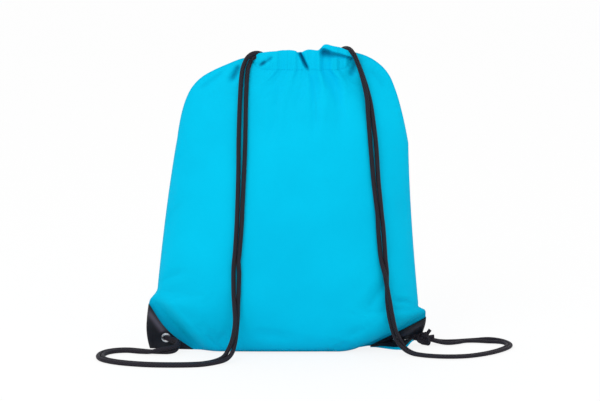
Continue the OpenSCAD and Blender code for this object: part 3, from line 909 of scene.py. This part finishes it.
# The middle of each loop from the mouth down, as x, y, z, distance between its two strands and their turn
# in degrees. y is None where the loop hangs against the sack. At no turn the strands lie side by side, and
# at 90 one behind the other.
LOOP = {
    LEFT: [
        (-22, 0, 355, 8.4, 90), (-28, -1, 360, 6.5, 50), (-36, -5, 363, 5.2, 25),
        (-42.8, -10, 361, 5.4, 15), (-47.2, None, 353, 6, 5), (-50.2, None, 342, 6.6, 0),
        (-52, None, 314, 7.2, 0), (-53.2, None, 267, 7.8, 0), (-54, None, 231, 6.9, 0),
        (-55.4, None, 195, 6.1, 0), (-56.7, None, 165, 5.9, 0), (-58.9, None, 134, 5.4, 0),
        (-60.3, None, 120, 5.4, 0), (-60.3, None, 107, 6.9, 0), (-60.6, None, 88, 6.3, 0),
        (-60.6, -51.5, 68, 5.4, 35), (-60.6, -53.8, 46, 5.4, 58), (-64.5, -58.2, 22, 5.4, 40),
        (-72.5, -63.5, 7, 6.2, 15), (-88, -72.5, 2.8, 5.8, 0), (-106, -82, 2.8, 5.5, 0),
        (-136, -84.5, 2.8, 5.5, 0), (-168, -82, 2.8, 5.5, 0), (-198, -73, 2.8, 5.5, 0),
        (-217, -60, 2.8, 5.5, 0), (-224, -44, 2.8, 5.5, 0), (-220, -27, 2.8, 5.5, 0),
        (-209, -16.5, 2.8, 5.5, 0), (-193, -13, 2.8, 5.5, 0), (-177, -18, 2.8, 5.5, 0),
        (-163, -22.5, 3.2, 5.5, 15), (-152, -23.5, 4.6, 5.5, 50), (-142, -23, 5.4, 5.4, 75),
        (-134, -19.5, 7, 5, 85), (-131, -13.5, 12, 4, 85),
    ],
    RIGHT: [
        (56, 0, 359, 8.4, 90), (62, -1, 365, 8, 90), (70, -4, 370, 7, 90),
        (78, -9.5, 366.5, 5.8, 90), (84, None, 354, 5.4, 90), (90, None, 338, 5.4, 80),
        (96.4, None, 314, 5.4, 58), (99.4, None, 291, 5.6, 20), (102.9, None, 256, 6.7, 0),
        (105.8, None, 218, 5.9, 0), (108.3, None, 195, 5.4, 0), (110.4, None, 176, 5.3, 20),
        (112, None, 157, 6.2, 0), (113.8, None, 134, 6, 0), (115.4, None, 118, 5.4, 20),
        (118, None, 104, 5.4, 60), (120.2, None, 82, 5.4, 100), (123.4, -36, 56, 5, 140),
        (128.6, -33, 32, 4.8, 150), (134.6, -29, 18, 4.8, 160), (142, -28, 8, 4.8, 170),
        (152, -31, 3.2, 4.8, 180), (166, -38.5, 2.5, 4.6, 180), (182, -43, 2.5, 4.6, 180),
        (199, -44, 2.5, 4.6, 180), (217, -41, 2.5, 4.6, 180), (235, -32, 2.5, 4.6, 180),
        (252, -18, 2.5, 4.6, 180), (265, -1, 2.6, 4.8, 180), (269.5, 13, 2.6, 4.8, 180),
        (264.5, 26, 2.6, 6, 180), (255, 33.5, 2.6, 12, 180), (244, 36.5, 2.6, 15, 180),
        (231, 36, 2.6, 8, 180), (217, 34, 2.6, 4.6, 180), (207, 29.5, 2.6, 8, 180),
        (197, 26.5, 2.6, 11, 180), (187, 26, 3.4, 8, 180), (179, 24.5, 5.5, 5.4, 180),
    ],
}


def loop_strands(side):
    """The middle lines of a loop's two strands."""
    rows = [
        (x, front_y(x, z) - CORD_R if y is None else y, z, gap, turn, y is None)
        for x, y, z, gap, turn in LOOP[side]
    ]
    path = spline(rows, 12)
    steps = np.linalg.norm(np.diff(path[:, [0, 2]], axis=0), axis=1) + np.abs(np.diff(path[:, 1])) * 0.5
    at = running(steps)
    fine = np.linspace(0, at[-1], int(at[-1] / 1.2))
    path = np.stack([np.interp(fine, at, path[:, k]) for k in range(6)], -1)
    x, y, z, gap, turn, held = path.T
    rest = np.array([front_y(a, b) for a, b in zip(x, z)])
    rest = rest - CORD_R - 0.3 - gap / 2 * np.abs(np.sin(np.radians(turn)))
    y = mix(y, np.minimum(rest, averaged(rest, 21)), smooth(held))
    middle = np.stack([x, y, z], -1)

    tangent = unit(np.gradient(middle, axis=0))
    away = mix(np.array([0, 0, 1.0]), np.array([0, -1.0, 0]), smooth(z / 40)[:, None])
    across = unit(np.cross(tangent, away))
    outward = np.cross(across, tangent)
    angle = np.radians(turn)[:, None]
    offset = (across * np.cos(angle) + outward * np.sin(angle)) * gap[:, None] / 2
    strands = {}
    for name, hand in (("outer", 1), ("inner", -1)):
        line = middle + offset * hand * -side
        clear = np.array([front_y(a, b) for a, b in line[:, [0, 2]]]) - CORD_R - 0.2
        before = (np.arange(len(line)) > np.argmax(z)) & (line[:, 1] < -3) & (z > 5)
        line[before, 1] = np.minimum(line[before, 1], clear[before])
        line[:, 2] = np.maximum(line[:, 2], CORD_R + 0.05)
        for _ in range(6):
            line[1:-1] = (line[:-2] + 2 * line[1:-1] + line[2:]) / 4
        strands[name] = line
    return strands


def cloth_share(path):
    """The share of the cloth behind each point of a path, averaged along the path."""
    nearest = [front_tree.find_nearest(point)[2] for point in path.tolist()]
    found = finished[FRONT]["shares"][finished[FRONT]["faces"][nearest]].mean(axis=1)
    return averaged(found, 17)


KNOT = {
    LEFT: EYELET[LEFT] + [-4, 15, 0],
    RIGHT: EYELET[RIGHT] + [34, 3, 1.3],
}


def squeezed(hand):
    """How far one cord of the pair in an eyelet lies off the eyelet's middle."""
    return np.array([0.5 * hand, 0, 1.3 * hand])


def strand_end(side, hand):
    """Where a strand goes on from its loop: into the left eyelet from the front, or into the right knot."""
    if side == RIGHT:
        return [KNOT[RIGHT] + [2, -2.2 * hand, -0.5]]
    c, through, lift = EYELET[LEFT], eyelet_axis(LEFT), squeezed(hand)
    return [c - through * 5 + [3.5, 0, 0] + lift, c - through * 1 + [0.6, 0, 0] + lift]


def strand_pieces(side, name, line, at, radius):
    """A strand in two pieces that meet below the gathers."""
    split = len(line) - 1 - np.argmax(line[::-1, 2] > STRAP_FREE_Z)
    strap = f"{SIDE[side]}_strap"
    swings = smooth((at - at[split]) / SWING_FADE[0]) * smooth((at[-1] - at) / SWING_FADE[1])
    for part, rows, body, weights in (
        ("top", slice(0, split + 1), "front_hem", cloth_share(line)),
        ("loop", slice(split, None), strap, swings),
    ):
        piece = swept(f"{SIDE[side]}_{name}_strand_{part}", line, radius, rows)
        blend_by(piece)
        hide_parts(f"{strap}_{name}_strand")


for side in SIDES:
    for (name, line), hand in zip(loop_strands(side).items(), (1, -1)):
        tail = spline(np.vstack([line[-12:-6:3], line[-1:], strand_end(side, hand)]), 8)[16:]
        line, at = resample(np.vstack([line[:-1], tail]), 1.0)
        radius = np.full(len(line), CORD_R)
        if side == LEFT:
            radius = mix(radius, EYELET_CORD_R, smooth((at - at[-1] + 14) / 9))
        else:
            radius = mix(FLOOR_CORD_R, radius, smooth((line[:, 2] - 12) / 50))
        strand_pieces(side, name, line, at, radius)


def knot_curve(t):
    """A trefoil, of which a tight overhand knot is most."""
    curve = [np.sin(t) + 2 * np.sin(2 * t), np.sin(3 * t), np.cos(t) - 2 * np.cos(2 * t)]
    return np.stack(curve, -1) * [KNOT_SIZE, KNOT_DEPTH, KNOT_SIZE]


# The cut ends that stand out of each knot: direction and length from the knot's middle.
KNOT_TIPS = {
    LEFT: [((-0.75, 0.3, 0.6), 13.0), ((-0.9, 0.5, -0.1), 12.0)],
    RIGHT: [((0.50, 0.1, 0.85), 14.0), ((0.95, 0.1, 0.30), 12.5)],
}


def make_knot(side):
    """Both cords tied in one overhand knot and pulled tight, with two short cut ends."""
    turned = math.radians({LEFT: -75, RIGHT: -15}[side])
    c, s = math.cos(turned), math.sin(turned)
    turn = knot_curve(np.radians(np.linspace(80, 400, 70))) @ [[c, 0, -s], [0, 1, 0], [s, 0, c]]
    beside = unit(np.cross(np.gradient(turn, axis=0), [0, 1.0, 0]))
    paths = [turn + beside * hand * 1.6 + [0, hand * 0.9, 0] for hand in (1, -1)]
    for way, length in KNOT_TIPS[side]:
        out = np.linspace(0.2, 1, 14)[:, None]
        paths.append(unit(way) * out * length + [0, 0, -1.5] * out**2)
    parts = []
    for path in paths:
        path = path + KNOT[side]
        path[:, 2] = np.maximum(path[:, 2], KNOT_CORD_R + 0.05)
        parts.append(swept("knot_part", resample(path, 0.8)[0], KNOT_CORD_R))
    name = f"{SIDE[side]}_knot"
    on_bag(join(parts, f"{name}_cord"), "cord", name)


def make_eyelet_cords(side):
    """The squeezed pair of cords from a knot through its eyelet."""
    c, through, knot = EYELET[side], eyelet_axis(side), KNOT[side]
    parts = []
    for hand in (1, -1):
        lift, behind = squeezed(hand), c + through * 9
        points = [c - through * 2 + lift, c + through * 4 + lift, mix(behind, knot, 0.35) + lift,
                  mix(behind, knot, 0.8) + lift * 1.2]
        if side == RIGHT:
            points = [c - through * 6 + [-5, -1, -2.0] + lift, c - through * 4 + [-1.5, 0, 0] + lift] + points
        path, at = resample(spline(points, 8), 0.9)
        radius = mix(EYELET_CORD_R, 2.4, smooth((at - at[-1] + 12) / 8))
        parts.append(swept("eyelet_cord_part", path, radius))
    name = f"{SIDE[side]}_eyelet_cord"
    on_bag(join(parts, f"{name}s"), "cord", name)


for side in SIDES:
    make_knot(side)
    make_eyelet_cords(side)


# ---- The cords inside the tunnels ----

def run_path(side, face):
    """The middle of one cord inside a tunnel. The left cord runs above the right one."""
    row_s, foot = finished[face]["s"], finished[face]["foot"]
    at = np.linspace(-0.95, 0.95, 110)
    x = np.interp(at, row_s, foot[:, 0])
    y = np.interp(at, row_s, foot[:, 1]) - face * tunnel_room(at) / 2
    z0 = np.interp(at, row_s, foot[:, 2])
    z = mix(z0, top_edge(face, x), 0.62 if side == LEFT else 0.34)
    if face == FRONT:
        deepest = np.max([front_tunnel_folds(x, z + step) for step in (-2.5, 0, 2.5)], axis=0)
        y = y + np.clip(deepest, 0, 4.5) + 0.4
    return np.stack([x, y, z], -1), at


for side in SIDES:
    for face in FACES:
        path, at = run_path(side, face)
        line, _ = resample(path, 1.2)
        s = np.interp(line[:, 0], path[:, 0], at)
        radius = mix(RUN_R, BIGHT_R, smooth((np.abs(s) - 0.7) / 0.22))
        run = swept(f"{SIDE[side]}_{FACE[face]}_run_cord", line, radius)
        blend_by(run)
        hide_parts(f"{SIDE[side]}_cord_{FACE[face]}_run")
    far = -side
    last = 0 if far == LEFT else -1
    front, back = (run_path(side, face)[0][last] for face in FACES)
    turn = np.array([SEAM_TOP[far][0] - far * 2.5, 0.0, (front[2] + back[2]) / 2])
    bend = [front, mix(front, turn, 0.6) - [0, 0.5, 0], turn, mix(back, turn, 0.6) + [0, 0.5, 0], back]
    line, _ = resample(spline(bend, 8), 1.0)
    bight = swept(f"{SIDE[side]}_bight_cord", line, BIGHT_R)
    on_bag(bight, "cord", f"{SIDE[side]}_cord_bight")


# ---- Corner patches ----

PATCH_RINGS, PATCH_RAYS = 30, 96


def patch_outline(side):
    """Points round a corner of the unfolded sack, from the foot of the patch's long edge to its head."""
    d, out = edge_dir(side), edge_out(side)
    middle = [PATCH_FOOT[side], 0] + d * math.hypot(LEG_IN[side], LEG_UP[side]) / 2
    reach = np.linspace(0, 70, 1401)
    ends = []
    for angle in np.linspace(0, math.pi, PATCH_RAYS + 1):
        ray = -d * math.cos(angle) + out * math.sin(angle)
        x, z = middle[0] + ray[0] * reach, middle[1] + ray[1] * reach
        inside = (z >= -0.01) & (side * (x - side_x(side, np.maximum(z, 0))) <= 0)
        ends.append(middle + ray * (reach[inside].max() + 0.5))
    return middle, np.array(ends)


def make_patch(side, face):
    """A corner's leather on one face, with a soft fold. Returns its inner points in rings."""
    middle, ends = patch_outline(side)
    ring = np.linspace(0, 1, PATCH_RINGS + 1)[:, None, None] ** 0.8
    flat = mix(middle, ends, ring)
    along = (flat - middle) @ edge_dir(side) / math.hypot(LEG_IN[side], LEG_UP[side]) * 2
    h = beyond(side, flat[..., 0], flat[..., 1])
    sag = PATCH_SAG[side] * np.maximum(0, 1 - along**2) ** 1.5 * np.exp(-np.maximum(0, h) / 9)
    flat = flat + sag[..., None] * edge_out(side)
    x, z = flat[..., 0], np.maximum(flat[..., 1], -0.3)
    h = beyond(side, x, z)
    near_rim = smooth((ring[..., 0] - 0.9) / 0.1)
    from_eyelet = np.linalg.norm(folded(np.stack([x, x * 0, z], -1)) - EYELET[side], axis=-1)
    loose = smooth((from_eyelet - FLANGE_R) / 4)
    ridge = np.exp(-(((h - 11 + 5 * along) / 3.6) ** 2)) * smooth((along + 0.35) / 0.4)
    ridge = ridge * smooth((1.05 - along) / 0.4) * loose
    fold = 0.35 * np.sin(h / 4.5 + 1.3 * face) * smooth(h / 10) * (1 - near_rim) * loose
    y = mix(PATCH_Y + 0.25 + fold + 0.9 * ridge, 0.12, near_rim)
    inner = folded(np.stack([x, face * y, z], -1))
    inner[..., 2] = np.maximum(inner[..., 2], 0.1)
    points = inner.reshape(-1, 3)
    quads = cut_eyelet_hole(side, cells(numbered(inner)), points)
    a, b, c = (points[quads[:, k]] for k in (0, 1, 2))
    if np.cross(b - a, c - a).sum(axis=0)[1] * face < 0:
        quads = quads[:, ::-1]
    name = f"{SIDE[side]}_{FACE[face]}"
    ob = new_object(f"{name}_leather", points, quads, LEATHER)
    # The raised fold is painted paler here: a painted highlight.
    set_attribute(ob, "painted_highlight", ridge.ravel() * RIDGE_HIGHLIGHT[side])
    thicken(ob, PATCH_T, 1)
    on_bag(ob, "patch", f"{name}_patch")
    return inner


def stitches(name, line, normal, stitch, material):
    """A row of raised stitches along a line, on cloth that faces along normal."""
    length, gap, thick = stitch
    line, at = resample(line, 0.4)
    normals = np.tile(unit(normal), (6, 1))
    lift = np.sin(np.linspace(0, math.pi, 6))
    points, faces = [], []
    start = gap
    while start + length < at[-1]:
        k = np.linspace(start, start + length, 6)
        path = np.stack([np.interp(k, at, line[:, c]) for c in range(3)], -1)
        path = path + normals * (thick * (0.9 * lift - 0.35))[:, None]
        beside = np.cross(unit(np.gradient(path, axis=0)), normals)
        tube = rings(path, normals, beside, thick * (0.55 + 0.45 * lift), 6)
        faces += tube_faces(numbered(tube) + 36 * len(points))
        points.append(tube.reshape(-1, 3))
        start += length + gap
    return new_object(name, np.vstack(points), faces, material)


def make_patch_stitches(side, face, grid):
    """One row round the outline of a patch and one along its long edge."""
    out = edge_out(side)
    long_edge = np.vstack([grid[::-1, 0], grid[1:, -1]])[5:-5] + np.array([out[0], 0, out[1]]) * 2.2
    normal = face * eyelet_axis(side)
    parts = [
        stitches("patch_row", row + normal * (PATCH_T + 0.05), normal, PATCH_STITCH, BLACK_THREAD)
        for row in (grid[-3, 1:-1], long_edge)
    ]
    on_bag(join(parts, f"{SIDE[side]}_{FACE[face]}_patch_stitches"), "patch")


def sheet(name, grid, weave, thickness, material, slot, *nodes):
    """A thin piece through a grid of points, which rides on the bag."""
    ob = new_object(name, grid.reshape(-1, 3), cells(numbered(grid)), material)
    set_attribute(ob, "weave", weave.reshape(-1, 3))
    thicken(ob, thickness, 0)
    on_bag(ob, slot, *nodes)


def squashed_corner(lower_edge):
    """The foot of the right corner, pressed flat in front of its patch, with the seam showing."""
    x = np.linspace(101, 154, 40)[:, None]
    w = np.linspace(0, 1, 9)
    edge_x, edge_y, edge_z = lower_edge[np.argsort(lower_edge[:, 0])].T
    y0, z0 = np.interp(x, edge_x, edge_y), np.interp(x, edge_x, edge_z)
    seam = 6.5 * smooth((x - 103) / 30) * smooth((156 - x) / 12)
    y1 = np.minimum(y0 - 1, mix(12, 5, smooth((x - 101) / 36)) + 15 * smooth((x - 139) / 15))
    lift = 6.0 * smooth((x - 140) / 14)
    for name, start, end, first_z, last_z, top, lifted, material, slot in (
        ("right_patch_foot", y0, y1, z0, 0.5, 3.0, w, LEATHER, "patch"),
        ("right_seam_foot", y1 + 3, y1 - seam, 0.6, 0.1, 0.9, 1, FABRIC, "fabric"),
    ):
        y = mix(start, end, w)
        z = mix(first_z, last_z, smooth(w)) + top * np.sin(math.pi * w) ** 1.5 * smooth((x - 100) / 12)
        z = z + lift * lifted + 0.35
        grid = np.stack(np.broadcast_arrays(x, y, z), -1)
        sheet(name, grid, grid * [1, 1, 0], FOOT_T, material, slot)


for side in SIDES:
    for face in FACES:
        patch_grid = make_patch(side, face)
        make_patch_stitches(side, face, patch_grid)
        if (side, face) == (RIGHT, FRONT):
            rim = patch_grid[-1]
            squashed_corner(rim[(rim[:, 2] < 6) & (rim[:, 0] > 99)])


# ---- Seam allowances inside, and the tunnels' stitches ----

def strip(name, line, across, width, node):
    """A strip of folded cloth along a line, with a slight wave, in place of a CAD node."""
    w = np.linspace(0, 1, 5)
    k = np.arange(len(line))[:, None]
    grid = line[:, None] + across[:, None] * w[:, None] * width
    grid[..., 1] += 0.35 * np.sin(k * 0.5) * w
    weave = np.stack(np.broadcast_arrays(w * width, k * 2.0, 0.0), -1)
    sheet(name, grid, weave, SEAM_T, FABRIC, "fabric", node)


for side in SIDES:
    start = (LEG_UP[side] + BEND_FAR + BEND_NEAR) / SHOULDER_Z * SHOULDER_V
    v = np.linspace(start, 0.99, 120)
    x, z = seam_xz(side, v)
    line = np.stack([x, x * 0, z], -1)
    t = unit(np.gradient(line, axis=0))
    inward = np.stack([t[:, 2], t[:, 0] * 0, -t[:, 0]], -1) * -side
    name = f"{SIDE[side]}_side"
    strip(f"{name}_allowance", line + inward, inward, 8.0, f"{name}_seam")

low, high = node_box("bottom_seam")
line = np.stack([np.linspace(low[0], high[0], 140), np.zeros(140), np.full(140, 0.9)], -1)
strip("bottom_allowance", line, np.tile([0, 0, 1.0], (140, 1)), 7.5, "bottom_seam")

for face in FACES:
    s, foot = finished[face]["s"], finished[face]["foot"]
    line = foot[np.abs(s) <= STITCH_END] + [0, face * 0.1, 0.3]
    name = FACE[face]
    row = stitches(f"{name}_tunnel_stitches", line, (0, face, 0), TUNNEL_STITCH, CYAN_THREAD)
    points = np.zeros(len(row.data.vertices) * 3, np.float32)
    row.data.vertices.foreach_get("co", points)
    blend_by(row)


# ---- Metal parts kept from the CAD ----

for side in SIDES:
    for part in ("eyelet", "eyelet_washer"):
        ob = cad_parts[f"{SIDE[side]}_{part}"]
        ob.data.materials.clear()
        ob.data.materials.append(METAL)


# ---- Stage, light and camera ----

def seen_and_lit(tree, seen, lit):
    """A mix of two shaders: one for what the camera sees, one for the light it gives to everything else."""
    mixer = tree.nodes.new("ShaderNodeMixShader")
    path = tree.nodes.new("ShaderNodeLightPath")
    tree.links.new(path.outputs["Is Camera Ray"], mixer.inputs[0])
    tree.links.new(lit, mixer.inputs[1])
    tree.links.new(seen, mixer.inputs[2])
    return mixer.outputs[0]


def pale_floor():
    """White paper that the camera sees nearly shadeless, with a faint contact shadow."""
    n = Nodes("pale_floor")
    n.plain(Base_Color=(0.85, 0.85, 0.85, 1), Roughness=0.8)
    glow = n.add("Emission", Strength=1.06)
    mostly = n.add("MixShader")
    mostly.inputs[0].default_value = 0.8
    n.link(n.surface.outputs[0], mostly.inputs[1])
    n.link(glow.outputs[0], mostly.inputs[2])
    shader = seen_and_lit(n.tree, mostly.outputs[0], n.surface.outputs[0])
    n.link(shader, n.tree.nodes["Material Output"].inputs["Surface"])
    return n.material


def white_world():
    world = bpy.data.worlds.new("studio")
    bpy.context.scene.world = world
    world.use_nodes = True
    tree = world.node_tree
    lit = tree.nodes["Background"]
    lit.inputs["Color"].default_value = (1, 1, 1, 1)
    lit.inputs["Strength"].default_value = 0.80
    seen = tree.nodes.new("ShaderNodeBackground")
    seen.inputs["Color"].default_value = (1, 1, 1, 1)
    shader = seen_and_lit(tree, seen.outputs[0], lit.outputs[0])
    tree.links.new(shader, tree.nodes["World Output"].inputs["Surface"])


def aimed(name, data, place, target):
    ob = bpy.data.objects.new(name, data)
    ob.location = place
    ob.rotation_euler = (Vector(target) - Vector(place)).to_track_quat("-Z", "Y").to_euler()
    bpy.context.scene.collection.objects.link(ob)
    return ob


def lamp(name, place, size, power):
    data = bpy.data.lights.new(name, "AREA")
    data.size = size
    data.energy = power
    aimed(name, data, place, (0, 0, 0.17))


CAMERA_AIM = Vector((0.0156, 0, 0.1846))     # in metres
CAMERA_TILT = math.radians(12)
CAMERA_AWAY = 4.5


def main_camera():
    """A long lens, slightly above the sack."""
    data = bpy.data.cameras.new("camera")
    data.lens, data.sensor_width = 225, 36
    data.clip_end = 50
    place = CAMERA_AIM + Vector((0, -math.cos(CAMERA_TILT), math.sin(CAMERA_TILT))) * CAMERA_AWAY
    bpy.context.scene.camera = aimed("camera", data, place, CAMERA_AIM)


def stage():
    corners = [(-6000, -6000, 0), (6000, -6000, 0), (6000, 6000, 0), (-6000, 6000, 0)]
    new_object("floor", corners, [(0, 1, 2, 3)], pale_floor())
    white_world()
    lamp("key", (-0.9, -1.6, 1.5), 1.2, 11)
    lamp("fill", (1.3, -1.6, 0.8), 1.6, 3)
    main_camera()
    bpy.context.scene.view_settings.view_transform = "Standard"


stage()
